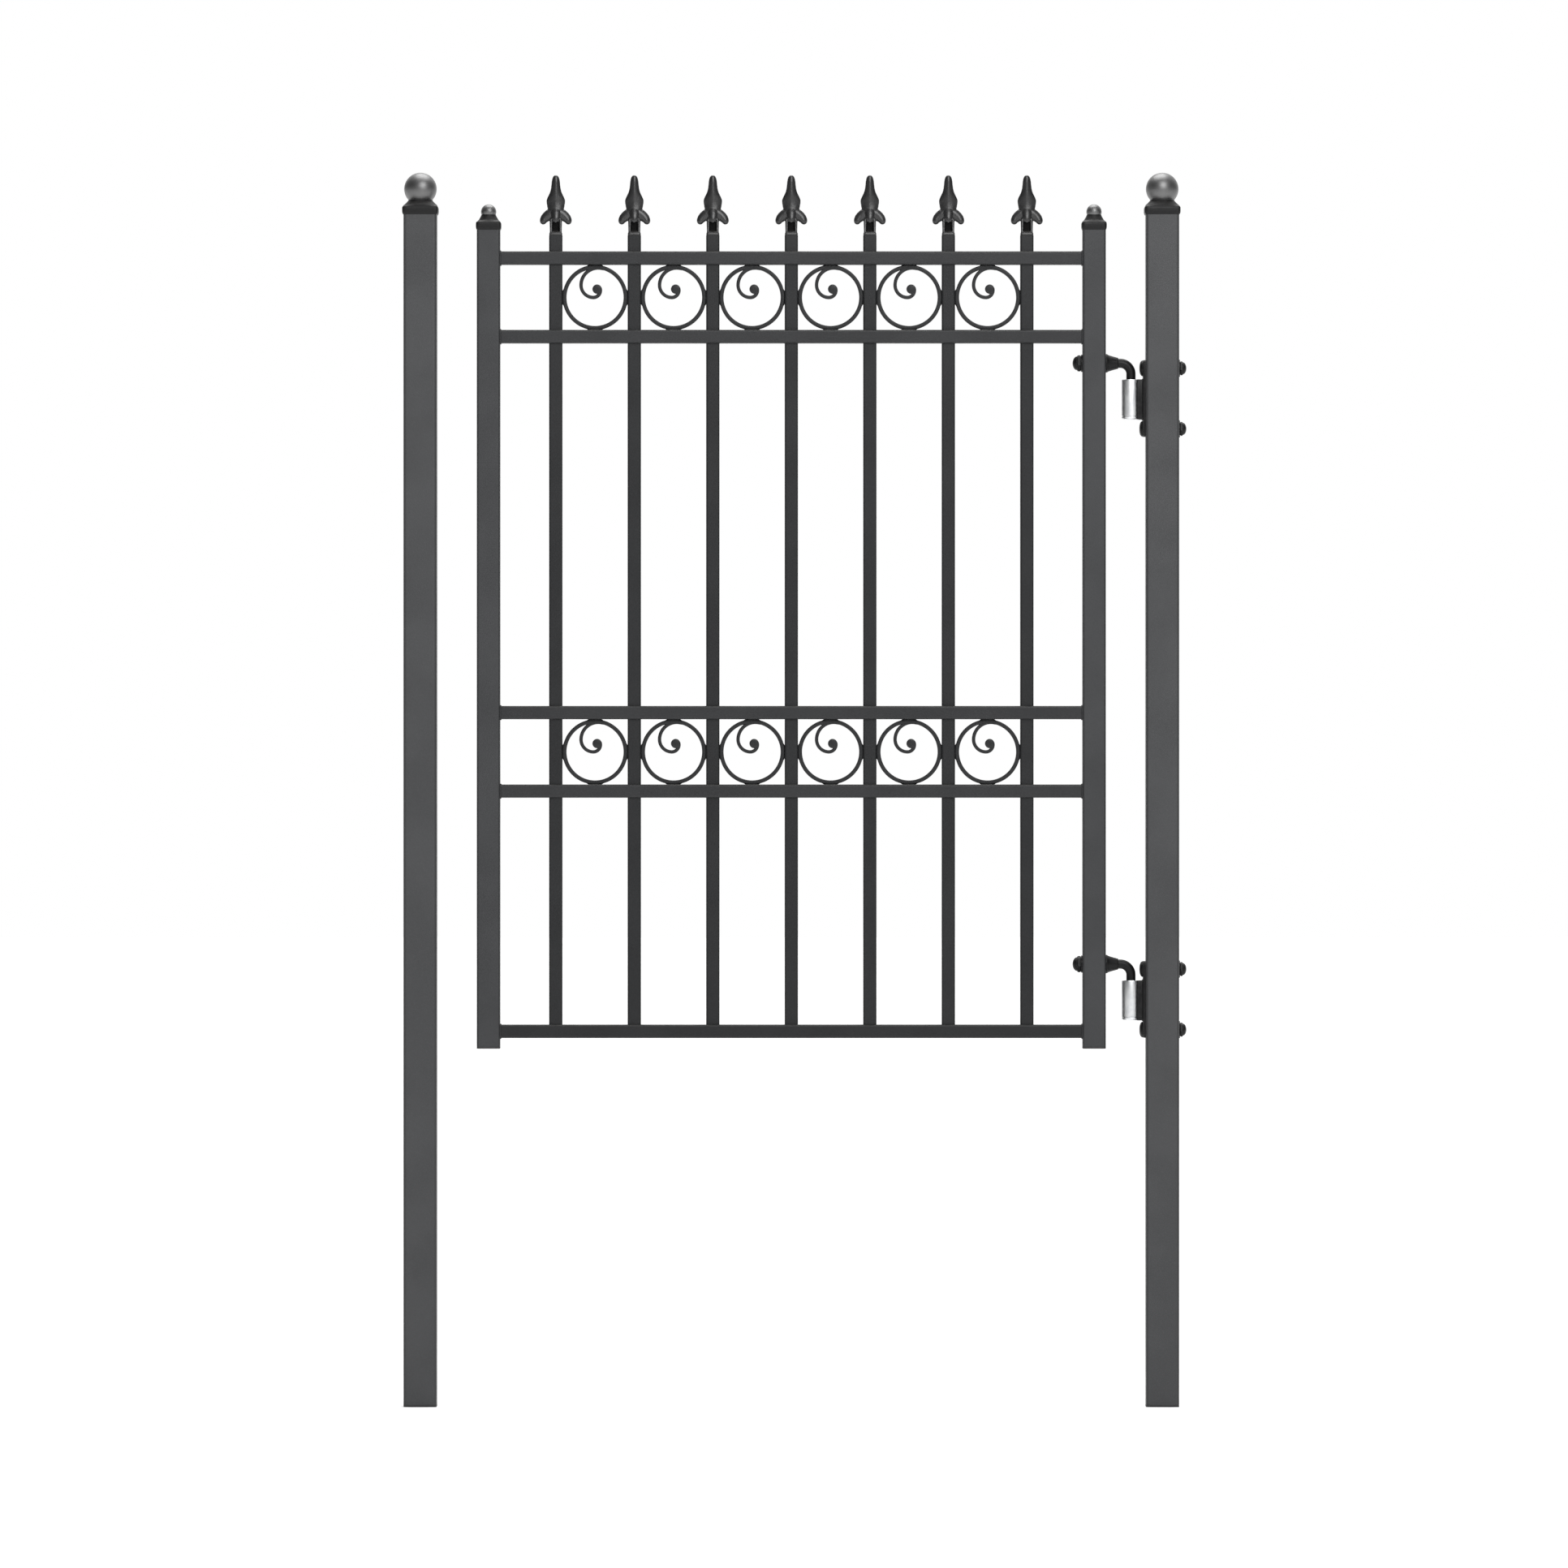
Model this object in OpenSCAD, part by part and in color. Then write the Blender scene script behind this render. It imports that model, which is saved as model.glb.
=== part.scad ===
// Single-leaf ornamental garden gate between two posts, with lift-off hook hinges on the right.
// X runs along the gate, Y through it and Z up. The origin lies between the posts, level with their feet.

/* [Posts] */
// Outer width of a post's square tube
post_w = 50; // [40:1:80]
// Wall of a post's tube
post_wall = 2; // [1.5:0.5:4]
// Outer corner radius of a post's tube
post_r = 5; // [1:0.5:6]
// Length of a post's tube
post_l = 1800; // [1700:10:2400]
// Clear gap between a post and the stile beside it
side_gap = 60; // [52:1:90]

/* [Stiles] */
// Outer width of a stile's square tube
stile_w = 35; // [30:1:50]
// Wall of a stile's tube
stile_wall = 2; // [1.5:0.5:3]
// Outer corner radius of a stile's tube
stile_r = 4; // [1:0.5:5]
// Height of the stiles' feet above the posts' feet
leaf_up = 538; // [100:1:700]
// How far a stile's tube rises above the top rail
stile_rise = 44; // [20:1:120]
// Clear gap between a stile and the nearest bar
end_gap = 73.5; // [20:0.5:98]

/* [Rails] */
// Height of a rail's box tube
rail_h = 20; // [16:1:30]
// Depth of a rail's box tube, front to back
rail_d = 30; // [24:1:35]
// Wall of a rail's tube
rail_wall = 1.5; // [1:0.5:3]
// Outer corner radius of a rail's tube
rail_r = 3; // [0.5:0.5:4]
// Height of the bottom rail's underside above the stiles' feet
bottom_rail_up = 16; // [5:1:100]
// Height of the lower ring band's middle above the bottom rail's middle
band_up = 420; // [200:1:600]
// Distance between the middles of the two ring bands
band_pitch = 683; // [300:1:900]

/* [Bars] */
// Number of bars
bar_count = 7; // [3:1:8]
// Outer width of a bar's square tube
bar_w = 20; // [14:1:22]
// Wall of a bar's tube
bar_wall = 1.5; // [1:0.5:2.5]
// Outer corner radius of a bar's tube
bar_r = 3; // [0.5:0.5:4]
// Clear gap between two bars, and between the two rails of a band
bar_gap = 98; // [80:1:110]
// How far a bar rises above the top rail
bar_rise = 24; // [5:1:80]

/* [Scroll rings] */
// Thickness of the flat bar that a ring is rolled from
ring_t = 6; // [4:0.5:8]
// Width of that flat bar, front to back
ring_d = 12; // [8:1:16]
// Radii of the curl's three arcs, from the ring inwards
curl_radii = [26, 18.5, 10.5]; // [6:0.5:36]
// Turns of the curl's three arcs
curl_turns = [105, 90, 110]; // [30:1:140]
// Angle to the right of a ring's top at which the curl leaves it
curl_start = 15; // [0:1:40]
// Thickness of the curl's bar, which is drawn out thinner than the ring
curl_t = 5; // [3:0.5:6]
// Width of the curl's bar, front to back
curl_d = 11; // [6:1:12]
// How far inside the ring's centre line the curl's bar starts
curl_inset = 0.8; // [0.5:0.1:1.5]
// Diameter of the round knob that ends the curl
curl_end_d = 14; // [8:0.5:16]

/* [Spear finials] */
// Height of a finial above its bar
spear_h = 91; // [70:1:120]
// Widest span across a finial's side leaves
leaves_w = 48; // [36:1:60]
// Widest span of a finial's blade
blade_w = 29; // [20:1:34]
// Depth of a finial's blade and leaves, front to back
spear_d = 15; // [10:1:18]
// Length of the spigot that plugs into the bar
spigot_l = 18; // [10:1:30]

/* [Ball caps] */
// Wall of a post cap's skirt
post_cap_wall = 1.8; // [1:0.1:4]
// Radius of a post cap's ball
post_ball_r = 24.5; // [19:0.5:32]
// Radius of the collar under a post cap's ball
post_collar_r = 18; // [10:0.5:19]
// Height of that collar
post_collar_h = 7.4; // [3:0.2:14]
// Wall of a stile cap's skirt
stile_cap_wall = 1.2; // [1:0.1:3]
// Radius of a stile cap's ball
stile_ball_r = 11.5; // [11:0.5:18]
// Radius of the collar under a stile cap's ball
stile_collar_r = 10.8; // [6:0.2:11.2]
// Height of that collar
stile_collar_h = 8.6; // [3:0.2:14]
// Height of a cap's skirt below the tube's end
cap_skirt_h = 12; // [6:1:25]
// Thickness of a cap's top plate
cap_top_t = 3; // [2:0.5:5]

/* [Tube plugs] */
// Thickness of a plug's flange
plug_t = 3; // [2:0.5:8]
// Depth of a plug's insert
plug_l = 18; // [10:1:40]
// Wall of a plug's insert
plug_wall = 2; // [1:0.5:4]

/* [Hook hinges] */
// Height of the lower hook bolt's arm above the stiles' feet
hinge_up = 127; // [90:1:300]
// Distance between the arms of the two hook bolts
hinge_pitch = 903; // [500:1:950]
// Diameter of the hook bolt's rod
rod_d = 14; // [10:1:16]
// Radius of the hook bolt's bend, on the rod's centre line
bend_r = 16; // [12:1:20]
// Distance from the post's face to the turning axis
pivot_out = 22; // [20:1:30]
// Height of the hook bolt's arm above the barrel
barrel_drop = 24.5; // [20:0.5:40]
// Outer diameter of the barrel
barrel_d = 28; // [22:1:34]
// Height of the barrel
barrel_h = 60; // [40:1:80]
// Thickness of the barrel's closed floor
barrel_floor = 4; // [2:0.5:8]
// Running clearance around the pin
pin_play = 0.25; // [0.1:0.05:0.5]
// Thickness of the thrust pad on the barrel's floor
pad_t = 3; // [1:0.5:6]
// Length of the conical nut against the stile
cone_l = 19; // [10:1:21]
// Diameter of the conical nut at the stile
cone_d = 28; // [22:1:34]

/* [Hinge brackets] */
// Thickness of the bracket's plate
plate_t = 4; // [3:0.5:6]
// Width of the bracket's plate
plate_w = 40; // [34:1:50]
// Distance between the bracket's two bolts
bolt_pitch = 91; // [80:1:120]
// Height of the plate's middle above the barrel's middle
plate_rise = 1.5; // [-3:0.5:3]
// Margin of the plate beyond each bolt
plate_margin = 12; // [10:1:20]
// Width of the saddle that holds the barrel
saddle_w = 30; // [26:1:40]
// Distance from the turning axis to the saddle's front
saddle_in = 9; // [6:0.5:11]

/* [Fasteners] */
// Diameter of the coach bolts through the post
bolt_d = 10; // [8:1:12]
// Diameter of a coach bolt's domed head
bolt_head_d = 24; // [18:1:26]
// Height of a coach bolt's domed head
bolt_head_h = 5.4; // [4:0.1:8]
// Thickness of the coach bolts' washers
bolt_washer_t = 1.6; // [1:0.2:3]
// Width across flats of the coach bolts' dome nuts
bolt_nut_af = 19; // [16:1:20]
// Height of their hexagon
bolt_nut_h = 4.6; // [3:0.2:8]
// Height of their dome
bolt_nut_dome = 5.1; // [3:0.1:9]
// Thickness of the hook bolts' washers
hook_washer_t = 2; // [1:0.2:4]
// Width across flats of the hook bolts' dome nuts
hook_nut_af = 22; // [20:1:24]
// Height of their hexagon
hook_nut_h = 6; // [4:0.5:12]
// Height of their dome
hook_nut_dome = 6.8; // [4:0.2:10]
// Diameter of every washer
washer_d = 26; // [24:1:30]

/* [Clearances] */
// Clearance on each side where one piece passes through another
fit = 0.15; // [0.05:0.05:0.4]
// Clearance on each side between a tube and the plug or cap on its end
end_fit = 0.2; // [0.1:0.05:0.4]
// Clearance on each side between a ring and the bars and rails around it
ring_fit = 0.1; // [0.05:0.05:0.4]
// Clearance on each side between a coach bolt and the post
bolt_fit = 0.3; // [0.1:0.1:0.6]

/* [Hidden] */
$fn = 64;
eps = 1;                                   // overshoot of a cutting shape
bar_pitch = bar_gap + bar_w;
leaf_half = (bar_count - 1) * bar_pitch / 2 + bar_w / 2 + end_gap + stile_w;
stile_x = leaf_half - stile_w / 2;
rail_l = 2 * (leaf_half - stile_w);
post_face_x = leaf_half + side_gap;
post_x = post_face_x + post_w / 2;
pivot_x = post_face_x - pivot_out;

bottom_rail_z = leaf_up + bottom_rail_up + rail_h / 2;
band_z = [bottom_rail_z + band_up, bottom_rail_z + band_up + band_pitch];
rail_step = (bar_gap + rail_h) / 2;        // from a band's middle to each of its rails
top_z = band_z[1] + rail_step + rail_h / 2;
bar_foot_z = bottom_rail_z - rail_h / 2 + rail_wall;
bar_top_z = top_z + bar_rise;
stile_foot_z = leaf_up + plug_t;
stile_top_z = top_z + stile_rise;
post_top_z = plug_t + post_l;

arm_z = [leaf_up + hinge_up, leaf_up + hinge_up + hinge_pitch];
barrel_mid_drop = barrel_drop + barrel_h / 2;
plate_drop = barrel_mid_drop - plate_rise; // from a hook bolt's arm down to its plate's middle

ring_r = bar_gap / 2 - ring_fit;           // outer radius of a ring
curl_step = 6;                             // most degrees between two points of a curl
collar_spread = 1.4;                       // a collar's foot over its top

SIDES = ["latch_side", "hinge_side"];
RAILS = ["rail_bottom", "rail_middle_lower", "rail_middle_upper", "rail_top_lower", "rail_top_upper"];
RAIL_Z = [bottom_rail_z, for (z = band_z, s = [-1, 1]) z + s * rail_step];
BANDS = ["middle", "top"];
LEVELS = ["lower", "upper"];

powder_coat = "dimgray";
gloss_black = "#202124";
zinc = "gainsboro";
black_plastic = "#181818";
white_nylon = "whitesmoke";

// Rounded rectangle about the origin.
module rounded_rect(w, d, r) {
    square([w - 2 * r, d], center = true);
    square([w, d - 2 * r], center = true);
    for (x = [-1, 1], y = [-1, 1]) translate([x * (w / 2 - r), y * (d / 2 - r)]) circle(r);
}

// Inner corner radius of a box tube.
function inner_r(r, wall) = max(r - wall, wall / 4);

// Section of a box tube, w by d outside.
module tube_section(w, d, wall, r) {
    difference() {
        rounded_rect(w, d, r);
        rounded_rect(w - 2 * wall, d - 2 * wall, inner_r(r, wall));
    }
}

// Lays a shape that was drawn along +Z on its side, along +X.
module along_x() {
    rotate([0, 90, 0]) children();
}

// Dome of base radius r and height h that rises from z = 0.
module dome(r, h) {
    ball_r = (r * r + h * h) / (2 * h);
    intersection() {
        translate([0, 0, h - ball_r]) sphere(ball_r);
        cylinder(r = r, h = h);
    }
}

// Four-sided frustum with square ends.
module frustum(foot_w, head_w, h) {
    module wedge() {
        rotate([90, 0, 0]) linear_extrude(foot_w, center = true)
            polygon([[-foot_w / 2, 0], [foot_w / 2, 0], [head_w / 2, h], [-head_w / 2, h]]);
    }
    intersection() {
        wedge();
        rotate(90) wedge();
    }
}

// Ball cap for the end of a square tube. The tube ends at z = 0, and the ball is hollow from below.
module ball_cap(tube_w, wall, ball_r, collar_r, collar_h) {
    skirt_w = tube_w + 2 * (end_fit + wall);
    collar_foot_r = collar_r * collar_spread;
    collar_z = cap_top_t + collar_h;
    ball_z = collar_z + sqrt(ball_r * ball_r - collar_r * collar_r);
    difference() {
        union() {
            translate([0, 0, -cap_skirt_h]) linear_extrude(cap_skirt_h)
                rounded_rect(skirt_w, skirt_w, wall);
            frustum(skirt_w, 2 * collar_foot_r, cap_top_t);
            translate([0, 0, cap_top_t]) cylinder(r1 = collar_foot_r, r2 = collar_r, h = collar_h);
            translate([0, 0, ball_z]) sphere(ball_r);
        }
        translate([0, 0, -cap_skirt_h - eps]) linear_extrude(cap_skirt_h + eps)
            square(skirt_w - 2 * wall, center = true);
        translate([0, 0, -eps]) cylinder(r = collar_r - wall, h = ball_z + eps);
        translate([0, 0, ball_z]) sphere(ball_r - wall);
    }
}

// Plug for the foot of a square tube. Its flange stands on z = 0, and its insert rises into the tube.
module tube_plug(tube_w, tube_wall, tube_r) {
    insert_w = tube_w - 2 * (tube_wall + end_fit);
    linear_extrude(plug_t) rounded_rect(tube_w, tube_w, tube_r);
    translate([0, 0, plug_t]) linear_extrude(plug_l) difference() {
        rounded_rect(insert_w, insert_w, inner_r(tube_r, tube_wall));
        square(insert_w - 2 * plug_wall, center = true);
    }
}

// Blind dome nut that stands on z = 0, for a thread of the given diameter.
module dome_nut(af, hex_h, dome_h, thread_d) {
    difference() {
        union() {
            cylinder(d = af / cos(30), h = hex_h, $fn = 6);
            translate([0, 0, hex_h]) dome(af / 2, dome_h);
        }
        translate([0, 0, -eps]) cylinder(d = thread_d + 2 * fit, h = hex_h + eps);
    }
}

module washer(bore_d, t) {
    linear_extrude(t) difference() {
        circle(d = washer_d);
        circle(d = bore_d + 2 * fit);
    }
}

// Puts a shape at each bolt of the two brackets, on a face x of the hinge-side post.
module at_bracket_bolts(x) {
    for (z = arm_z, s = [-1, 1]) translate([x, 0, z - plate_drop + s * bolt_pitch / 2]) children();
}

module at_hooks(x) {
    for (z = arm_z) translate([x, 0, z]) children();
}

module post(side) {
    color(powder_coat) difference() {
        translate([side * post_x, 0, plug_t]) linear_extrude(post_l)
            tube_section(post_w, post_w, post_wall, post_r);
        if (side > 0) at_bracket_bolts(post_face_x - eps) along_x()
            cylinder(d = bolt_d + 2 * bolt_fit, h = post_w + 2 * eps);
    }
}

module post_cap(side) {
    color(gloss_black) translate([side * post_x, 0, post_top_z])
        ball_cap(post_w, post_cap_wall, post_ball_r, post_collar_r, post_collar_h);
}

module post_foot_plug(side) {
    color(black_plastic) translate([side * post_x, 0, 0]) tube_plug(post_w, post_wall, post_r);
}

module stile(side) {
    color(powder_coat) difference() {
        translate([side * stile_x, 0, stile_foot_z]) linear_extrude(stile_top_z - stile_foot_z)
            tube_section(stile_w, stile_w, stile_wall, stile_r);
        if (side > 0) at_hooks(stile_x - stile_w / 2 - eps) along_x()
            cylinder(d = rod_d + 2 * fit, h = stile_w + 2 * eps);
    }
}

module stile_cap(side) {
    color(gloss_black) translate([side * stile_x, 0, stile_top_z])
        ball_cap(stile_w, stile_cap_wall, stile_ball_r, stile_collar_r, stile_collar_h);
}

module stile_foot_plug(side) {
    color(black_plastic) translate([side * stile_x, 0, leaf_up]) tube_plug(stile_w, stile_wall, stile_r);
}

// Box-tube rail, punched for the bars. The bottom rail keeps its floor, and the bars stand on it.
module rail(z) {
    cut_foot = z == bottom_rail_z ? 0 : -rail_h;
    color(powder_coat) translate([0, 0, z]) difference() {
        translate([-rail_l / 2, 0, 0]) along_x() linear_extrude(rail_l)
            tube_section(rail_h, rail_d, rail_wall, rail_r);
        for (i = [1:bar_count]) translate([bar_x(i), 0, cut_foot]) linear_extrude(2 * rail_h)
            rounded_rect(bar_w + 2 * fit, bar_w + 2 * fit, bar_r + fit);
    }
}

function bar_x(i) = (i - (bar_count + 1) / 2) * bar_pitch;

module bar(i) {
    color(powder_coat) translate([bar_x(i), 0, bar_foot_z]) linear_extrude(bar_top_z - bar_foot_z)
        tube_section(bar_w, bar_w, bar_wall, bar_r);
}

// Front outline of a finial: neck, two drooping side leaves, waist, blade and point.
module spear_front() {
    lobe_r = 5;
    leaf_z = 22;
    waist_z = 42;
    blade_z = 52;
    tip_z = 84;
    half = [
        [bar_w / 2, 0],
        [bar_w / 2 - fit, leaf_z - lobe_r + 1],
        [leaves_w / 2 - lobe_r, leaf_z - lobe_r],
        [leaves_w / 2 - lobe_r / 4, leaf_z + lobe_r / 2],
        [blade_w / 2 + 4, leaf_z + 13],
        [blade_w / 2 - 1.5, waist_z],
        [blade_w / 2, blade_z - 2],
        [blade_w / 2 - 1.5, blade_z + 4],
        [8.2, 66],
        [6.8, 74],
        [5.8, tip_z],
        [3, spear_h - 1.5],
        [0, spear_h]
    ];
    for (s = [0, 1]) mirror([s, 0]) {
        polygon(concat(half, [[0, 0]]));
        translate([leaves_w / 2 - lobe_r, leaf_z]) circle(lobe_r);
    }
}

// Side outline of a finial: a square neck that thins into the leaves and the blade.
module spear_side() {
    shoulder_z = 14;
    tip_z = 84;
    half = [
        [bar_w / 2, 0],
        [bar_w / 2, shoulder_z - 4],
        [spear_d / 2, shoulder_z],
        [spear_d / 2, shoulder_z + 40],
        [4, tip_z],
        [0, spear_h]
    ];
    for (s = [0, 1]) mirror([s, 0]) polygon(concat(half, [[0, 0]]));
}

module spear_finial(i) {
    spigot_w = bar_w - 2 * (bar_wall + fit);
    color(gloss_black) translate([bar_x(i), 0, bar_top_z]) {
        intersection() {
            rotate([90, 0, 0]) linear_extrude(2 * bar_w, center = true) spear_front();
            rotate([90, 0, 90]) linear_extrude(2 * leaves_w, center = true) spear_side();
        }
        translate([0, 0, -spigot_l]) linear_extrude(spigot_l + eps)
            rounded_rect(spigot_w, spigot_w, inner_r(bar_r, bar_wall));
    }
}

// Centre line of a curl as [x, y, heading]: arc k starts at (x, y) and turns to the left.
function curl_line(k, x, y, heading) = k == len(curl_radii) ? [] :
    let (
        r = curl_radii[k],
        cx = x - r * sin(heading),
        cy = y + r * cos(heading),
        steps = ceil(curl_turns[k] / curl_step),
        arc = [
            for (j = [0:steps]) let (a = heading + j * curl_turns[k] / steps)
                [cx + r * sin(a), cy - r * cos(a), a]
        ],
        end = arc[steps]
    )
    concat([for (j = [k == 0 ? 0 : 1:steps]) arc[j]], curl_line(k + 1, end.x, end.y, end.z));

// Point at a distance to the left of a point of the centre line.
function left_of(p, distance) = [p.x - distance * sin(p.z), p.y + distance * cos(p.z)];

// Bar that leaves the ring on a tangent near its top, curls inwards and ends in a round knob.
module curl() {
    start_r = ring_r - ring_t / 2 - curl_inset;
    line = curl_line(0, start_r * sin(curl_start), start_r * cos(curl_start), 180 - curl_start);
    last = len(line) - 1;
    linear_extrude(curl_d, center = true) polygon(concat(
        [for (p = line) left_of(p, curl_t / 2)],
        [for (j = [last:-1:0]) left_of(line[j], -curl_t / 2)]
    ));
    translate(left_of(line[last], (curl_end_d - curl_t) / 2))
        cylinder(d = curl_end_d, h = ring_d, center = true);
}

// Rolled ring with its curl, drawn flat and then stood up with its front to -Y.
module scroll_ring(band, i) {
    color(powder_coat) translate([bar_x(i) + bar_pitch / 2, 0, band_z[band]]) rotate([90, 0, 0]) {
        rotate_extrude() translate([ring_r - ring_t / 2, 0]) square([ring_t, ring_d], center = true);
        curl();
    }
}

// Rod that passes through the stile, bends down and ends in the pin.
module hook_bolt(level) {
    z = arm_z[level];
    arm_x = stile_x - stile_w / 2 - hook_washer_t - hook_nut_h + fit;
    pin_foot_z = z - barrel_drop - barrel_h + barrel_floor + pad_t;
    color(gloss_black) {
        translate([arm_x, 0, z]) along_x() cylinder(d = rod_d, h = pivot_x - bend_r - arm_x);
        translate([pivot_x - bend_r, 0, z - bend_r]) rotate([90, 0, 0])
            rotate_extrude(angle = 90) translate([bend_r, 0]) circle(d = rod_d);
        translate([pivot_x, 0, pin_foot_z]) cylinder(d = rod_d, h = z - bend_r - pin_foot_z);
    }
}

module hook_dome_nuts() {
    color(gloss_black) at_hooks(stile_x - stile_w / 2 - hook_washer_t) mirror([1, 0, 0]) along_x()
        dome_nut(hook_nut_af, hook_nut_h, hook_nut_dome, rod_d);
}

module hook_washers() {
    color(gloss_black) at_hooks(stile_x - stile_w / 2 - hook_washer_t) along_x()
        washer(rod_d, hook_washer_t);
}

module hook_cone_nuts() {
    nose_d = rod_d + 3;
    color(gloss_black) at_hooks(stile_x + stile_w / 2) along_x() difference() {
        cylinder(d1 = cone_d, d2 = nose_d, h = cone_l);
        translate([0, 0, -eps]) cylinder(d = rod_d + 2 * fit, h = cone_l + 2 * eps);
    }
}

// Closed-bottomed sleeve that the pin turns in.
module hinge_barrel(level) {
    color(zinc) translate([pivot_x, 0, arm_z[level] - barrel_drop - barrel_h]) difference() {
        cylinder(d = barrel_d, h = barrel_h);
        translate([0, 0, barrel_floor]) cylinder(d = rod_d + 2 * pin_play, h = barrel_h);
    }
}

module thrust_pads() {
    color(white_nylon) for (z = arm_z)
        translate([pivot_x, 0, z - barrel_drop - barrel_h + barrel_floor]) cylinder(d = rod_d, h = pad_t);
}

// Plate bolted to the post, with a saddle welded to it that the barrel lies in.
module hinge_bracket(level) {
    plate_h = bolt_pitch + 2 * plate_margin;
    neck_w = bolt_d + 2 * fit;
    color(gloss_black) difference() {
        union() {
            translate([post_face_x - plate_t, -plate_w / 2, arm_z[level] - plate_drop - plate_h / 2])
                cube([plate_t, plate_w, plate_h]);
            translate([pivot_x + saddle_in, -saddle_w / 2, arm_z[level] - barrel_mid_drop - barrel_h / 2])
                cube([pivot_out - saddle_in - plate_t, saddle_w, barrel_h]);
        }
        translate([pivot_x, 0, arm_z[level] - barrel_mid_drop])
            cylinder(d = barrel_d + 2 * fit, h = 2 * barrel_h, center = true);
        at_bracket_bolts(post_face_x) cube([3 * plate_t, neck_w, neck_w], center = true);
    }
}

// Coach bolts: domed head on the bracket's plate, square neck in it, shank through the post.
module bracket_bolts() {
    shank_l = post_w + bolt_washer_t + bolt_nut_h - fit;
    color(gloss_black) {
        at_bracket_bolts(post_face_x - plate_t) mirror([1, 0, 0]) along_x()
            dome(bolt_head_d / 2, bolt_head_h);
        at_bracket_bolts(post_face_x - plate_t / 2) cube([plate_t, bolt_d, bolt_d], center = true);
        at_bracket_bolts(post_face_x) along_x() cylinder(d = bolt_d, h = shank_l);
    }
}

module bracket_washers() {
    color(gloss_black) at_bracket_bolts(post_face_x + post_w) along_x() washer(bolt_d, bolt_washer_t);
}

module bracket_dome_nuts() {
    color(gloss_black) at_bracket_bolts(post_face_x + post_w + bolt_washer_t) along_x()
        dome_nut(bolt_nut_af, bolt_nut_h, bolt_nut_dome, bolt_d);
}

for (s = [0, 1]) {
    post(2 * s - 1);
    post_cap(2 * s - 1);
    post_foot_plug(2 * s - 1);
    stile(2 * s - 1);
    stile_cap(2 * s - 1);
    stile_foot_plug(2 * s - 1);
    hook_bolt(s);
    hinge_barrel(s);
    hinge_bracket(s);
    for (i = [1:bar_count - 1])
        scroll_ring(s, i);
}
for (k = [0:len(RAILS) - 1]) rail(RAIL_Z[k]);
for (i = [1:bar_count]) {
    bar(i);
    spear_finial(i);
}
hook_dome_nuts();
hook_washers();
hook_cone_nuts();
thrust_pads();
bracket_bolts();
bracket_washers();
bracket_dome_nuts();
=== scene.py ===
"""A single-leaf garden gate between two square posts, hung on two lift-off hook hinges."""

import math

import bmesh
import bpy
from mathutils import Matrix, Vector


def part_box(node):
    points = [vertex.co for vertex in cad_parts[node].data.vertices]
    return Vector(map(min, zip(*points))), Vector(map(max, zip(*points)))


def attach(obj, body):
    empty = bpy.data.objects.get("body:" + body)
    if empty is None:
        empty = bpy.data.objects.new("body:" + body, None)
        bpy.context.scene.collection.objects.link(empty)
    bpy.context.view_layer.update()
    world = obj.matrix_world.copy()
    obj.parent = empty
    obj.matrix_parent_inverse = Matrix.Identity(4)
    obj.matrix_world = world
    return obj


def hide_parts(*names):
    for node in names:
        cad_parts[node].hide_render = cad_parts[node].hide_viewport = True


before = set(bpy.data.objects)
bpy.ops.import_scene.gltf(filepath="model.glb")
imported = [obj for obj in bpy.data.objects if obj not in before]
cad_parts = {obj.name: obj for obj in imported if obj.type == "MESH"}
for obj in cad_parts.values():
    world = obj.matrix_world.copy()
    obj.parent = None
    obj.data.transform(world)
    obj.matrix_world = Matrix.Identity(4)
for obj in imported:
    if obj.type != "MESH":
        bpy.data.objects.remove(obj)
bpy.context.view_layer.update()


# ------------------------------------------------------------------ Posts
# Two lengths of 50 mm square steel tube with rounded corners, powder coated in satin anthracite.
# They run on below the leaf and are set in concrete. The coating has a fine orange peel, and its
# rounded corners are painted darker as painted shade.


def add(tree, kind, inputs=(), **settings):
    """Puts a node in a shader tree. inputs pairs a socket with its value or with what feeds it."""
    made = tree.nodes.new(kind)
    for name, value in settings.items():
        setattr(made, name, value)
    for socket, value in inputs:
        if isinstance(value, bpy.types.NodeSocket):
            tree.links.new(value, made.inputs[socket])
        else:
            made.inputs[socket].default_value = value
    return made


def reckon(tree, operation, first, second=0.0):
    """One sum on two numbers or sockets."""
    return add(tree, "ShaderNodeMath", [(0, first), (1, second)], operation=operation).outputs[0]


def times(tree, first, second):
    return reckon(tree, "MULTIPLY", first, second)


def plus(tree, first, second):
    return reckon(tree, "ADD", first, second)


def rise(tree, value, start, end, low=0.0, high=1.0):
    """low where value is at start, high where it is at end, and a smooth step between them."""
    inputs = [("Value", value), ("From Min", start), ("From Max", end)]
    inputs += [("To Min", low), ("To Max", high)]
    step = add(tree, "ShaderNodeMapRange", inputs, interpolation_type="SMOOTHSTEP")
    return step.outputs["Result"]


def cloud(tree, size, detail=2.0):
    """Noise over the piece, with lumps about this many metres across."""
    place = add(tree, "ShaderNodeTexCoord").outputs["Object"]
    inputs = [("Vector", place), ("Scale", reckon(tree, "DIVIDE", 1.0, size)), ("Detail", detail)]
    return add(tree, "ShaderNodeTexNoise", inputs).outputs["Fac"]


def effect(name, inputs, output):
    """An empty shader node group with these number inputs and one output."""
    tree = bpy.data.node_groups.new(name, "ShaderNodeTree")
    number = "NodeSocketFloat"
    for label, value in inputs:
        socket = tree.interface.new_socket(label, in_out="INPUT", socket_type=number)
        socket.default_value = value
    tree.interface.new_socket(output, in_out="OUTPUT", socket_type=number)
    given = tree.nodes.new("NodeGroupInput").outputs
    return tree, given, tree.nodes.new("NodeGroupOutput").inputs[0]


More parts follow.
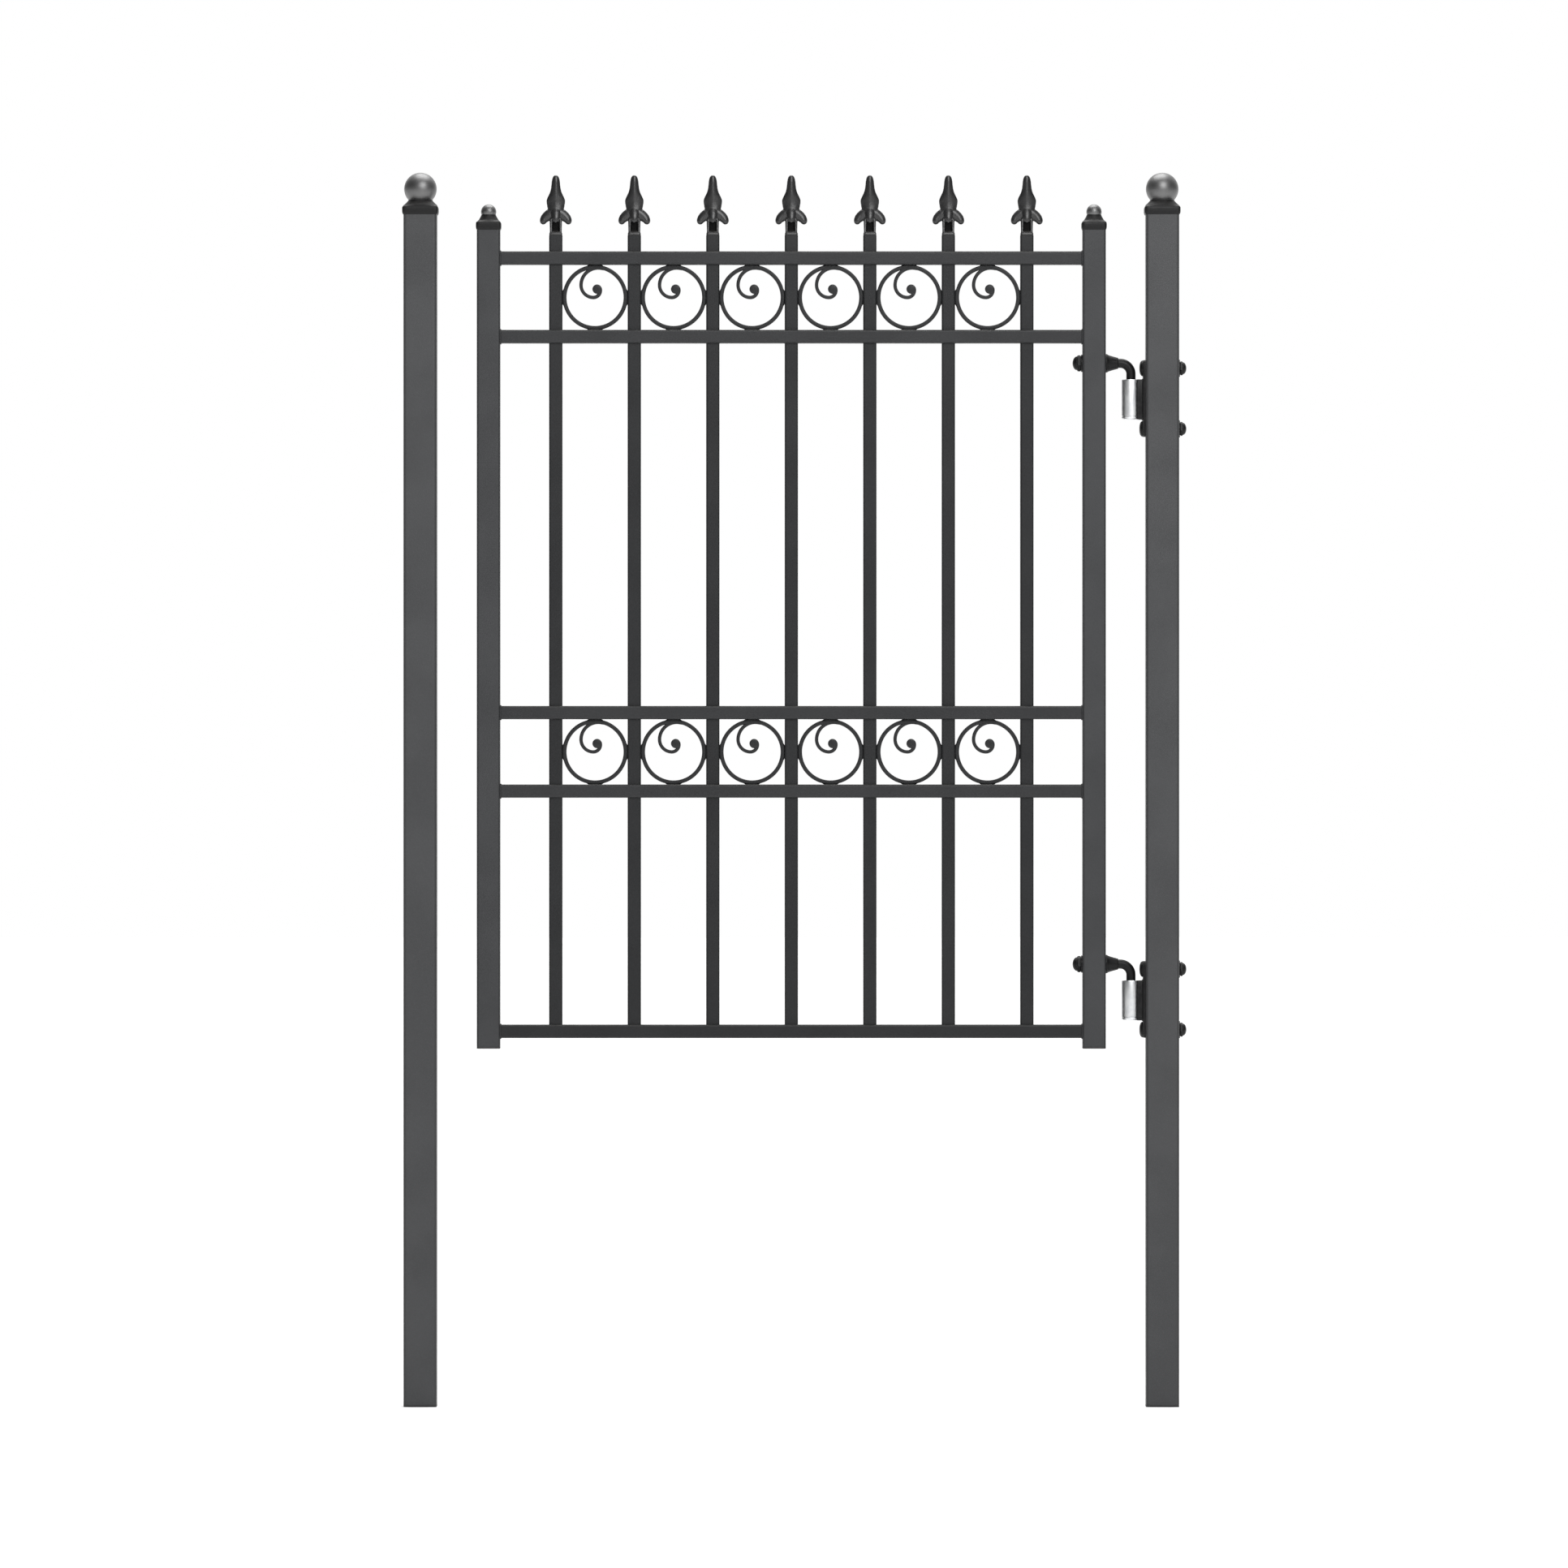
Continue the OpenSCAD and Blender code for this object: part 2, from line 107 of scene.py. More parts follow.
# Orange peel: small pebbles over slow waves.
dials = [("Pebble Size", 0.0016), ("Wave Size", 0.009), ("Waves", 0.4)]
peel, given, result = effect("orange_peel", dials, "Height")
pebbles = cloud(peel, given["Pebble Size"], 1.0)
waves = cloud(peel, given["Wave Size"], 1.0)
inputs = [("Factor", given["Waves"]), ("A", pebbles), ("B", waves)]
peel.links.new(add(peel, "ShaderNodeMix", inputs).outputs["Result"], result)

# Painted corner shade: a mask of a tube's rounded corners, broken into patches, where the coat is
# painted darker as shade.
corner_shade, given, result = effect("painted_corner_shade", [("Patchiness", 0.3)], "Edge")
facing = add(corner_shade, "ShaderNodeTexCoord").outputs["Normal"]
sides = add(corner_shade, "ShaderNodeVectorMath", [(0, facing)], operation="ABSOLUTE").outputs[0]
sides = add(corner_shade, "ShaderNodeSeparateXYZ", [(0, sides)]).outputs
squarest = reckon(corner_shade, "MAXIMUM", reckon(corner_shade, "MAXIMUM", sides["X"], sides["Y"]), sides["Z"])
corner = rise(corner_shade, squarest, 0.995, 0.84)
patches = times(corner_shade, given["Patchiness"], cloud(corner_shade, 0.03))
corner_shade.links.new(times(corner_shade, corner, reckon(corner_shade, "SUBTRACT", 1.0, patches)), result)

# Settled dust: a pale film that gathers on whatever faces up.
dusty, given, result = effect("settled_dust", [("Amount", 0.3), ("Patch Size", 0.02)], "Dust")
facing = add(dusty, "ShaderNodeTexCoord").outputs["Normal"]
upward = rise(dusty, add(dusty, "ShaderNodeSeparateXYZ", [(0, facing)]).outputs["Z"], 0.3, 0.98)
scatter = rise(dusty, cloud(dusty, given["Patch Size"], 4.0), 0.3, 0.65, 0.35, 1.0)
dusty.links.new(times(dusty, times(dusty, upward, scatter), given["Amount"]), result)


def use(tree, group, **values):
    """Places an effect in a material's tree with its own values, and gives its output."""
    made = tree.nodes.new("ShaderNodeGroup")
    made.node_tree = group
    for label, value in values.items():
        made.inputs[label.replace("_", " ").title()].default_value = value
    return made.outputs[0]


def blend_of(tree, share, first, second):
    """A colour that goes from the first to the second as the share goes from 0 to 1."""
    made = add(tree, "ShaderNodeMix", [("Factor", share)], data_type="RGBA")
    for socket, value in ((made.inputs[6], first), (made.inputs[7], second)):
        if isinstance(value, bpy.types.NodeSocket):
            tree.links.new(value, socket)
        else:
            socket.default_value = (*value, 1)
    return made.outputs[2]


def finish_with(name, metallic=0.0, coat=0.0, coat_roughness=0.1):
    """A new material, and its tree and its Principled shader."""
    material = bpy.data.materials.new(name)
    material.use_nodes = True
    tree = material.node_tree
    shader = tree.nodes["Principled BSDF"]
    shader.inputs["Metallic"].default_value = metallic
    shader.inputs["Coat Weight"].default_value = coat
    shader.inputs["Coat Roughness"].default_value = coat_roughness
    return material, tree, shader


def relief(tree, shader, height, strength, depth):
    """Raises the surface by a height, at most as deep as this many metres."""
    inputs = [("Height", height), ("Strength", strength), ("Distance", depth)]
    bump = add(tree, "ShaderNodeBump", inputs)
    tree.links.new(bump.outputs["Normal"], shader.inputs["Normal"])


def powder_coat(name, colour, roughness, dust=0.12):
    """Satin powder coat: a drifting tone, a fine speckle, painted shade on the rounded corners,
    dust, orange peel.
    """
    material, tree, shader = finish_with(name)
    shader.inputs["Specular IOR Level"].default_value = 0.2
    # The third colour here is painted shade for the rounded corners.
    darker, lighter, corner_shade_colour = ([c * share for c in colour] for share in (0.94, 1.06, 0.55))
    speck = [c * 1.7 + 0.004 for c in colour]
    dust_grey = (0.33, 0.32, 0.30)
    drift = rise(tree, cloud(tree, 0.11), 0.3, 0.7, -1.0, 1.0)
    speckle = rise(tree, cloud(tree, 0.0007, 2.0), 0.56, 0.70, 0.0, 0.5)
    edge = use(tree, corner_shade, patchiness=0.35)
    film = use(tree, dusty, amount=dust, patch_size=0.018)
    shade = blend_of(tree, rise(tree, drift, -1.0, 1.0), darker, lighter)
    shade = blend_of(tree, speckle, shade, speck)
    # Painted shade: the rounded corners are darkened towards the corner shade colour.
    shade = blend_of(tree, times(tree, edge, 0.75), shade, corner_shade_colour)
    shade = blend_of(tree, film, shade, dust_grey)
    tree.links.new(shade, shader.inputs["Base Color"])
    rough = plus(tree, roughness, times(tree, drift, 0.03))
    rough = plus(tree, rough, times(tree, film, 0.6))
    rough = reckon(tree, "SUBTRACT", rough, times(tree, edge, 0.05))
    tree.links.new(rough, shader.inputs["Roughness"])
    height = use(tree, peel, pebble_size=0.0016, wave_size=0.008, waves=0.45)
    relief(tree, shader, height, 0.8, 0.0003)
    return material


def recoat(node_name, material):
    """Gives a CAD node, whose shape is right as it is, its real finish."""
    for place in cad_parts[node_name].material_slots:
        place.material = material


post_coat = powder_coat("post_powder_coat", (0.056, 0.057, 0.059), 0.37)
for side in ("latch_side", "hinge_side"):
    recoat("post_" + side, post_coat)


# -------------------------------------------------------------- Post caps
# Cast caps, knocked on over a dab of adhesive: a square skirt that slips over the tube, a plate
# that slopes to a flared collar, and a ball on top. The skirt, plate and collar are matt black,
# and the ball is polished under a thick clear lacquer.


def reach(angle, half, corner):
    """How far the edge of a square with rounded corners is from its middle, at this angle."""
    across, along = sorted((abs(math.cos(angle)), abs(math.sin(angle))))
    if across / along * half <= half - corner:
        return half / along
    middle = (half - corner) * (across + along)
    return middle + math.sqrt(max(0.0, middle * middle - 2 * (half - corner) ** 2 + corner**2))


def square_angles(half, corner, flat_steps, corner_steps):
    """Angles round a rounded square, close together at its corners."""
    turn = math.atan((half - corner) / half)
    quarter = [-turn + 2 * turn * i / flat_steps for i in range(flat_steps)]
    quarter += [turn + (math.pi / 2 - 2 * turn) * i / corner_steps for i in range(corner_steps)]
    return [angle + k * math.pi / 2 for k in range(4) for angle in quarter]


def skin(shape, rings):
    """Adds a surface over rings that have as many points each, closed flat at its two ends."""
    rows = [[shape.verts.new(point) for point in ring] for ring in rings]
    for low, high in zip(rows, rows[1:]):
        for i in range(len(low)):
            j = (i + 1) % len(low)
            shape.faces.new((low[i], low[j], high[j], high[i]))
    shape.faces.new(reversed(rows[0]))
    shape.faces.new(rows[-1])


def square_stack(shape, profile, angles, x, z):
    """Adds a surface over (height, half width, corner) sections. With no corner one is round."""
    rings = []
    for height, half, corner in profile:
        lengths = [half if corner is None else reach(a, half, corner) for a in angles]
        turns = zip(angles, lengths)
        rings.append([(x + r * math.cos(a), r * math.sin(a), z + height) for a, r in turns])
    skin(shape, rings)


def make_piece(name, shape, material, body, slot, *nodes, crease=32):
    """A piece made from a bmesh. It rides on the body, and stands for the nodes that are named."""
    bmesh.ops.recalc_face_normals(shape, faces=shape.faces)
    mesh = bpy.data.meshes.new(name)
    shape.to_mesh(mesh)
    shape.free()
    mesh.shade_smooth()
    mesh.set_sharp_from_angle(angle=math.radians(crease))
    mesh.materials.append(material)
    return set_piece(name, mesh, Vector(), body, slot, *nodes)


def set_piece(name, mesh, place, body, slot, *nodes):
    """Puts a mesh in its place, on its body, in the stead of its nodes."""
    piece = bpy.data.objects.new(name, mesh)
    piece.location = place
    bpy.context.scene.collection.objects.link(piece)
    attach(piece, body)
    if nodes:
        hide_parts(*nodes)
    return piece


def cast_black(name, colour, roughness, coat, lump=0.004, depth=0.00025):
    """Black lacquer over a casting: slow lumps under it, a little dust, and rubbed high spots."""
    material, tree, shader = finish_with(name, coat=coat, coat_roughness=0.22)
    rubbed = [c * 3.2 + 0.01 for c in colour]
    dust_grey = (0.30, 0.29, 0.28)
    film = use(tree, dusty, amount=0.10, patch_size=0.009)
    worn = rise(tree, add(tree, "ShaderNodeNewGeometry").outputs["Pointiness"], 0.53, 0.60)
    worn = times(tree, worn, rise(tree, cloud(tree, 0.006), 0.45, 0.62, 0.0, 0.35))
    shade = blend_of(tree, film, blend_of(tree, worn, colour, rubbed), dust_grey)
    tree.links.new(shade, shader.inputs["Base Color"])
    cloudy = times(tree, rise(tree, cloud(tree, 0.012), 0.3, 0.7), 0.08)
    rough = plus(tree, plus(tree, roughness, cloudy), times(tree, film, 0.8))
    tree.links.new(rough, shader.inputs["Roughness"])
    height = use(tree, peel, pebble_size=0.0011, wave_size=lump, waves=0.7)
    relief(tree, shader, height, 0.6, depth)
    return material


def set_gloss(material, **values):
    """Sets a lacquer's own constants on its shader."""
    shader = material.node_tree.nodes["Principled BSDF"]
    for label, value in values.items():
        shader.inputs[label.replace("_", " ")].default_value = value


cap_black = cast_black("gloss_black_caps", (0.007, 0.007, 0.0073), 0.42, 0.0)
set_gloss(cap_black, Specular_IOR_Level=0.22)
ball_black = cast_black("polished_black_balls", (0.009, 0.009, 0.0093), 0.45, 1.0, 0.007, 0.0002)
set_gloss(ball_black, Specular_IOR_Level=0.2, Coat_Roughness=0.43, Coat_IOR=2.1)


def ball_cap(node_name, body, collar, collar_height, ball, flare, wall):
    """Makes a cap to fill its node's box. collar and ball are radii, and flare widens the foot."""
    low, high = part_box(node_name)
    middle, half = (low + high) / 2, (high.x - low.x) / 2
    plate, corner, skirt = 0.003, 0.0046, 0.012
    tube_end = low.z + skirt
    neck_z = plate + collar_height
    ball_z = high.z - tube_end - ball
    # The skirt, from its inner rim out and up to the plate, as (height, how far inside half).
    rim = [(-0.0119, wall), (-0.0119, 0.0016), (-0.0114, 0.0011), (-0.0104, 0.0006)]
    rim += [(-0.0090, 0.0002), (-0.0072, 0), (-0.0032, 0), (-0.0018, 0.0001), (-0.0008, 0.0004)]
    rim += [(0.0001, 0.0008)]
    profile = [(z, half - inset, corner) for z, inset in rim]
    foot = collar * flare
    for share in (0.2, 0.45, 0.7, 0.93):
        size = (half - 0.0008) * (1 - share) + foot * share
        profile.append((plate * share, size, corner + (size - corner) * share * 0.8))
    collar_steps, ball_steps = 12, 36
    for i in range(1, collar_steps + 1):
        t = (i - 0.5) / (collar_steps - 0.5)
        size = collar + (foot - collar) * (1 - t) ** 1.25
        profile.append((plate + t * (neck_z - plate), size, None))
    start = math.asin((neck_z - ball_z) / ball)
    for i in range(1, ball_steps + 1):
        latitude = start + (math.pi / 2 - start) * i / (ball_steps + 0.25)
        profile.append((ball_z + ball * math.sin(latitude), ball * math.cos(latitude), None))
    shape = bmesh.new()
    square_stack(shape, profile, square_angles(half, corner, 18, 6), middle.x, tube_end)
    name, slot = node_name + "_casting", "gloss_black_caps"
    piece = make_piece(name, shape, cap_black, body, slot, node_name, crease=24)
    piece.data.materials.append(ball_black)
    for face in piece.data.polygons:
        face.material_index = int(face.center.z > tube_end + neck_z)


for side in ("latch_side", "hinge_side"):
    ball_cap("post_cap_" + side, "posts", 0.018, 0.0074, 0.0245, flare=1.38, wall=0.0018)


# ------------------------------------------------------------- Foot plugs
# Moulded black plastic plugs that close the tubes' feet: a flange as wide as the tube, with rounded
# edges, and a ribbed insert that grips inside it.

plug_black, tree, shader = finish_with("black_plastic")
film = use(tree, dusty, amount=0.08, patch_size=0.01)
shade = blend_of(tree, film, (0.022, 0.022, 0.023), (0.3, 0.29, 0.27))
tree.links.new(shade, shader.inputs["Base Color"])
grain = rise(tree, cloud(tree, 0.0009, 3.0), 0.35, 0.65)
tree.links.new(plus(tree, 0.5, times(tree, grain, 0.1)), shader.inputs["Roughness"])
relief(tree, shader, grain, 0.35, 0.0001)


def foot_plug(node_name, body, tube_wall, corner):
    """Makes a plug to fill its node's box, with a shallow dish under its flange."""
    low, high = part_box(node_name)
    middle, half = (low + high) / 2, (high.x - low.x) / 2
    insert, inner = half - tube_wall - 0.0002, corner - tube_wall
    flange, depth = 0.0030, 0.0210
    profile = [
        (0.0008, half * 0.30, half * 0.30),
        (0.0008, half * 0.55, corner),
        (0.0001, half * 0.58, corner),
        (0.0, half - 0.0007, corner),
        (0.0002, half - 0.0002, corner),
        (0.0007, half, corner),
        (0.0026, half, corner),
        (flange, half - 0.0004, corner),
        (flange, insert, inner),
        (0.0195, insert - 0.0003, inner),
        (depth, insert - 0.0015, inner),
    ]
    shape = bmesh.new()
    square_stack(shape, profile, square_angles(half, corner, 4, 6), middle.x, low.z)
    make_piece(node_name + "_moulding", shape, plug_black, body, "black_plastic", node_name)


for side in ("latch_side", "hinge_side"):
    foot_plug("post_foot_plug_" + side, "posts", 0.002, 0.005)


# ------------------------------------------------------- Stiles and rails
# The leaf's frame: two 35 mm square stiles and five 30 x 20 mm rails between them, butt welded all
# round and powder coated as one. The rails are punched for the bars.

leaf_coat = powder_coat("leaf_powder_coat", (0.044, 0.045, 0.047), 0.37)
rail_coat = powder_coat("rail_powder_coat", (0.028, 0.0285, 0.030), 0.39)
RAILS = ["rail_bottom"]
RAILS += [f"rail_{band}_{edge}" for band in ("middle", "top") for edge in ("lower", "upper")]
for node_name in ("stile_latch_side", "stile_hinge_side"):
    recoat(node_name, leaf_coat)
for node_name in RAILS:
    recoat(node_name, rail_coat)
for side in ("latch_side", "hinge_side"):
    ball_cap("stile_cap_" + side, "gate_leaf", 0.0108, 0.0086, 0.0115, flare=1.42, wall=0.0012)
    foot_plug("stile_foot_plug_" + side, "gate_leaf", 0.002, 0.004)


def circle(count, shift=0.0):
    """Cosines and sines of evenly spaced directions, turned by this share of a space."""
    angles = [2 * math.pi * (k + shift) / count for k in range(count)]
    return [(math.cos(a), math.sin(a)) for a in angles]


def weld_bead(shape, path, radius, closed=False, sides=8, ripple=0.0021):
    """Adds a rippled bead along the path, drawn in at its ends unless it is closed."""
    points = [Vector(p) for p in path]
    spans = list(zip(points, points[1:] + points[:1] if closed else points[1:]))
    line, run = [], 0.0
    for start, end in spans:
        length = (end - start).length
        count = max(1, round(length / (ripple / 3)))
        line += [(start.lerp(end, i / count), run + length * i / count) for i in range(count)]
        run += length
    if not closed:
        line.append((points[-1], run))
    rings = []
    for i, (point, distance) in enumerate(line):
        before = line[i - 1][0] if i or closed else point
        after = line[(i + 1) % len(line)][0] if i + 1 < len(line) or closed else point
        ahead = (after - before).normalized()
        side = last_side - ahead * last_side.dot(ahead) if rings else ahead.orthogonal()
        side = last_side = side.normalized()
        wave = 0.13 * math.sin(2 * math.pi * distance / ripple) + 0.05 * math.sin(distance * 900)
        size = radius * (0.92 + wave)
        if not closed:
            to_end = min(distance, run - distance) / radius
            size *= min(1.0, 0.35 + 0.65 * math.sqrt(to_end + 1e-9))
        up = ahead.cross(side)
        rings.append([point + size * (c * side + d * up) for c, d in circle(sides)])
    skin(shape, rings)


welds = bmesh.new()
inset, sink = 0.0026, 0.0004
for node_name in RAILS:
    low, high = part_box(node_name)
    for x in (low.x, high.x):
        inward = sink if x < 0 else -sink
        corners = [
            (low.y + inset, low.z),
            (high.y - inset, low.z),
            (high.y, low.z + inset),
            (high.y, high.z - inset),
            (high.y - inset, high.z),
            (low.y + inset, high.z),
            (low.y, high.z - inset),
            (low.y, low.z + inset),
        ]
        weld_bead(welds, [(x + inward, y, z) for y, z in corners], 0.0014, closed=True)
make_piece("rail_welds", welds, rail_coat, "gate_leaf", "leaf_powder_coat", crease=60)


# ------------------------------------------------------------------- Bars
# Seven 20 mm square bars that pass through the punched rails and stand in the bottom one, each
# tacked to the rails along its back.

bar_coat = powder_coat("bar_powder_coat", (0.018, 0.0185, 0.0195), 0.39)
bars = [f"bar_{i}" for i in range(1, 8)]
for node_name in (*bars, "rail_bottom"):
    recoat(node_name, bar_coat)

tacks = bmesh.new()
for node_name in bars:
    low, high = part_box(node_name)
    for rail in RAILS:
        rail_low, rail_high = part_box(rail)
        for z in (rail_low.z, rail_high.z)[rail == "rail_bottom" :]:
            ends = [(low.x + 0.003, high.y, z), (high.x - 0.003, high.y, z)]
            weld_bead(tacks, ends, 0.0013)
make_piece("bar_tacks", tacks, rail_coat, "gate_leaf", "leaf_powder_coat", crease=60)


# ------------------------------------------------------------ Scroll rings
# Twelve rings rolled from 12 x 6 mm flat bar. A thinner bar leaves each ring near its top, curls
# inwards and ends in a forged round knob. Each ring is tacked to the bars and rails that it
# touches.

ring_coat = powder_coat("ring_powder_coat", (0.020, 0.0205, 0.0215), 0.37, dust=0.08)
low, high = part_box("scroll_ring_top_1")
ring_centre, ring_outer, ring_depth = (low + high) / 2, (high.x - low.x) / 2, high.y - low.y


def flat_bar_section(thickness, depth, edge=0.0011, steps=3):
    """Section of a flat bar with eased edges, as (outward, across) offsets from its middle."""
    section = []
    for out, across, turn in ((1, 1, 0), (-1, 1, 90), (-1, -1, 180), (1, -1, 270)):
        for i in range(steps + 1):
            angle = math.radians(turn + 90 * i / steps)
            section.append(
                (
                    out * (thickness / 2 - edge) + edge * math.cos(angle),
                    across * (depth / 2 - edge) + edge * math.sin(angle),
                )
            )
    return section


def along_ring(x, z, heading, offset, across):
    """Point beside a line in the ring's plane: offset to its left, and across towards the back."""
    return (x - offset * math.sin(heading), across, z + offset * math.cos(heading))


# The rolled ring.
ring_t = 0.006
middle_r = ring_outer - ring_t / 2
rolled = flat_bar_section(ring_t, ring_depth)
shape = bmesh.new()
rows = []
for c, d in circle(120):
    row = [((middle_r + out) * c, across, (middle_r + out) * d) for out, across in rolled]
    rows.append([shape.verts.new(point) for point in row])
for here, there in zip(rows, rows[1:] + rows[:1]):
    for k in range(len(rolled)):
        m = (k + 1) % len(rolled)
        shape.faces.new((here[k], here[m], there[m], there[k]))

# The curl's three arcs, from the ring inwards, as in the forged piece: radius, then degrees of
# turn. A tapered tail runs back from its root into the ring.
start, root_r = math.radians(15), middle_r - 0.0008
x, z, heading = root_r * math.sin(start), root_r * math.cos(start), math.pi - start
curl = []
for radius, turn in ((0.026, 105), (0.0185, 90), (0.0105, 110)):
    centre = (x - radius * math.sin(heading), z + radius * math.cos(heading))
    steps = math.ceil(turn / 4)
    for i in range(steps + 1):
        a = heading + math.radians(turn) * i / steps
        curl.append((centre[0] + radius * math.sin(a), centre[1] - radius * math.cos(a), a))
    x, z, heading = curl.pop()
curl.append((x, z, heading))
x, z, heading = curl[0]
for back in (0.004, 0.008, 0.011):
    curl.insert(0, (x - back * math.cos(heading), z - back * math.sin(heading), heading))
rings = []
for i, (x, z, heading) in enumerate(curl):
    t = i / (len(curl) - 1)
    thickness = min(0.0056 - 0.0005 * math.sin(math.pi * t), 0.0014 + 0.0013 * i)
    section = flat_bar_section(thickness, 0.011 - 0.0008 * t, edge=0.0010)
    rings.append([along_ring(x, z, heading, -out, across) for out, across in section])
skin(shape, rings)

# The knob at the curl's end, domed on both faces.
x, z, heading = curl[-1]
knob_r, knob_half = 0.007, ring_depth / 2
knob = along_ring(x, z, heading, knob_r - 0.0025, 0)
profile = []
for i in range(1, 9):
    dome = 0.86 + 0.14 * math.cos(i * math.pi / 16)
    profile.append((knob_r * math.sin(i * math.pi / 18), knob_half * dome))
profile += [(knob_r, knob_half * 0.70), (knob_r * 1.02, 0.0)]
profile += [(r, -d) for r, d in reversed(profile[:-1])]
skin(shape, [[(knob[0] + r * c, -d, knob[2] + r * e) for c, e in circle(40)] for r, d in profile])

slot, node_name = "ring_powder_coat", "scroll_ring_top_1"
forged = make_piece("ring_top_1_forged", shape, ring_coat, "gate_leaf", slot, node_name, crease=40)
forged.location = ring_centre
OTHER_RINGS = [("middle", i) for i in range(1, 7)] + [("top", i) for i in range(2, 7)]
for band, i in OTHER_RINGS:
    node_name = f"scroll_ring_{band}_{i}"
    low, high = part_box(node_name)
    name, place = f"ring_{band}_{i}_forged", (low + high) / 2
    set_piece(name, forged.data, place, "gate_leaf", slot, node_name)

# Where a ring touches a bar or a rail, the weld fills the wedge on both sides of the touching
# point and runs out along the ring. Its coat is painted darker than the ring's, as shade in the
# wedge.
weld_shaded_coat = powder_coat("weld_coat_painted_shade", (0.010, 0.010, 0.0105), 0.46, dust=0.05)
fills = bmesh.new()
reach_along, full_to, steps = 0.0125, 0.0085, 36
for quarter in range(4):
    touch = quarter * math.pi / 2
    out = Vector((math.cos(touch), 0, math.sin(touch)))
    along = Vector((-math.sin(touch), 0, math.cos(touch)))
    rings = []
    for i in range(steps + 1):
        a = -reach_along + 2 * reach_along * i / steps
        run_out = max(0.0, (abs(a) - full_to) / (reach_along - full_to))
        inner = math.sqrt((ring_outer - 0.0006) ** 2 - a * a)
        outer = ring_outer + 0.0004 - 0.0020 * run_out**2
        ripple = 0.00022 * math.sin(2 * math.pi * a / 0.0024)
        half = 0.0046 - 0.0016 * (abs(a) / reach_along) ** 4 + ripple
        middle, deep = (inner + outer) / 2, (outer - inner) / 2
        ring = []
        for c, d in circle(10, 0.5):
            square = (abs(c) ** 5 + abs(d) ** 5) ** -0.2
            across = Vector((0, square * d * half, 0))
            ring.append(out * (middle + square * c * deep) + along * a + across)
        rings.append(ring)
    skin(fills, rings)
filled = make_piece("ring_top_1_welds", fills, weld_shaded_coat, "gate_leaf", slot, crease=50)
filled.location = ring_centre
for band, i in OTHER_RINGS:
    low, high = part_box(f"scroll_ring_{band}_{i}")
    name, place = f"ring_{band}_{i}_welds", (low + high) / 2
    set_piece(name, filled.data, place, "gate_leaf", slot)


# ---------------------------------------------------------- Spear finials
# Cast iron spears in gloss black, plugged into the bars: a square neck with a socket between two
# ribs, painted near black as shade, two drooping side leaves with a bud before and behind, a waist,
# and a ridged blade with a blunt point. One pattern serves all seven.

finial_black = cast_black("gloss_black_finials", (0.010, 0.010, 0.0105), 0.34, 0.25, 0.003, 0.0002)
# The socket's material is painted shade: near black and dull, for the shade under the leaves.
socket_shade_black = cast_black("socket_painted_shade", (0.003, 0.003, 0.0031), 0.6, 0.0)
set_gloss(socket_shade_black, Specular_IOR_Level=0.08)
MM = 0.001


def oval(half_x, half_y, power, count=40):
    """Outline between a diamond (power 1), an ellipse (2) and a square (above 6)."""
    points = []
    for c, d in circle(count, 0.5):
        r = (abs(c) ** power + abs(d) ** power) ** (-1 / power)
        points.append((half_x * r * c, half_y * r * d))
    return points


casting = bmesh.new()
# Height, half width, half depth and squareness of the stem and the blade, in millimetres.
stem = [
    (0.0, 9.4, 9.4, 9),
    (0.7, 9.85, 9.85, 9),
    (3.0, 9.8, 9.8, 9),
    (4.2, 9.2, 9.0, 9),
    (5.2, 9.0, 8.4, 9),
    (7.4, 8.9, 2.6, 9),
    (9.0, 8.9, 1.7, 9),
    (18.5, 8.9, 1.7, 6),
    (21.5, 8.9, 5.0, 3),
    (26.0, 9.0, 6.0, 2.4),
    (33.0, 10.2, 6.0, 2.0),
    (38.0, 11.6, 5.8, 1.8),
    (42.0, 12.9, 5.4, 1.6),
    (46.0, 13.7, 5.2, 1.4),
    (50.0, 14.5, 5.1, 1.3),
    (52.5, 14.6, 5.1, 1.3),
    (55.0, 13.9, 5.2, 1.3),
    (58.0, 12.6, 5.3, 1.3),
    (61.0, 11.0, 5.4, 1.3),
    (64.0, 9.5, 5.4, 1.35),
    (67.0, 8.4, 5.3, 1.4),
    (71.0, 7.4, 5.2, 1.45),
    (76.0, 6.8, 5.0, 1.5),
    (81.0, 6.3, 4.8, 1.6),
    (85.0, 5.6, 4.4, 1.7),
    (88.0, 4.5, 3.7, 1.8),
    (90.0, 2.9, 2.5, 2.0),
    (90.8, 1.4, 1.3, 2.0),
]
skin(casting, [[(x * MM, y * MM, z * MM) for x, y in oval(a, b, n)] for z, a, b, n in stem])

# The ribs beside the socket: height, half width and half depth.
rib = [(5.0, 2.1, 8.4), (7.0, 2.0, 7.8), (12.0, 2.1, 6.8), (18.0, 2.3, 6.2)]
rib += [(23.0, 2.2, 5.8), (26.0, 1.5, 4.5)]
for out in (-7.0, 7.0):
    rings = [[((out + x) * MM, y * MM, z * MM) for x, y in oval(a, b, 5)] for z, a, b in rib]
    skin(casting, rings)


def leaf(shape, route, turn):
    """Adds a drooping leaf. Each step of its route is (out, height, half width, half thickness)."""
    places = [Vector((x, 0, z)) for x, z, _, _ in route]
    rings = []
    for i, (place, (_, _, wide, thick)) in enumerate(zip(places, route)):
        ahead = (places[min(i + 1, len(places) - 1)] - places[max(i - 1, 0)]).normalized()
        outward = Vector((-ahead.z, 0, ahead.x))
        outline = oval(wide, thick, 1.7, 28)
        rings.append([turn @ ((place + outward * a + Vector((0, b, 0))) * MM) for a, b in outline])
    skin(shape, rings)


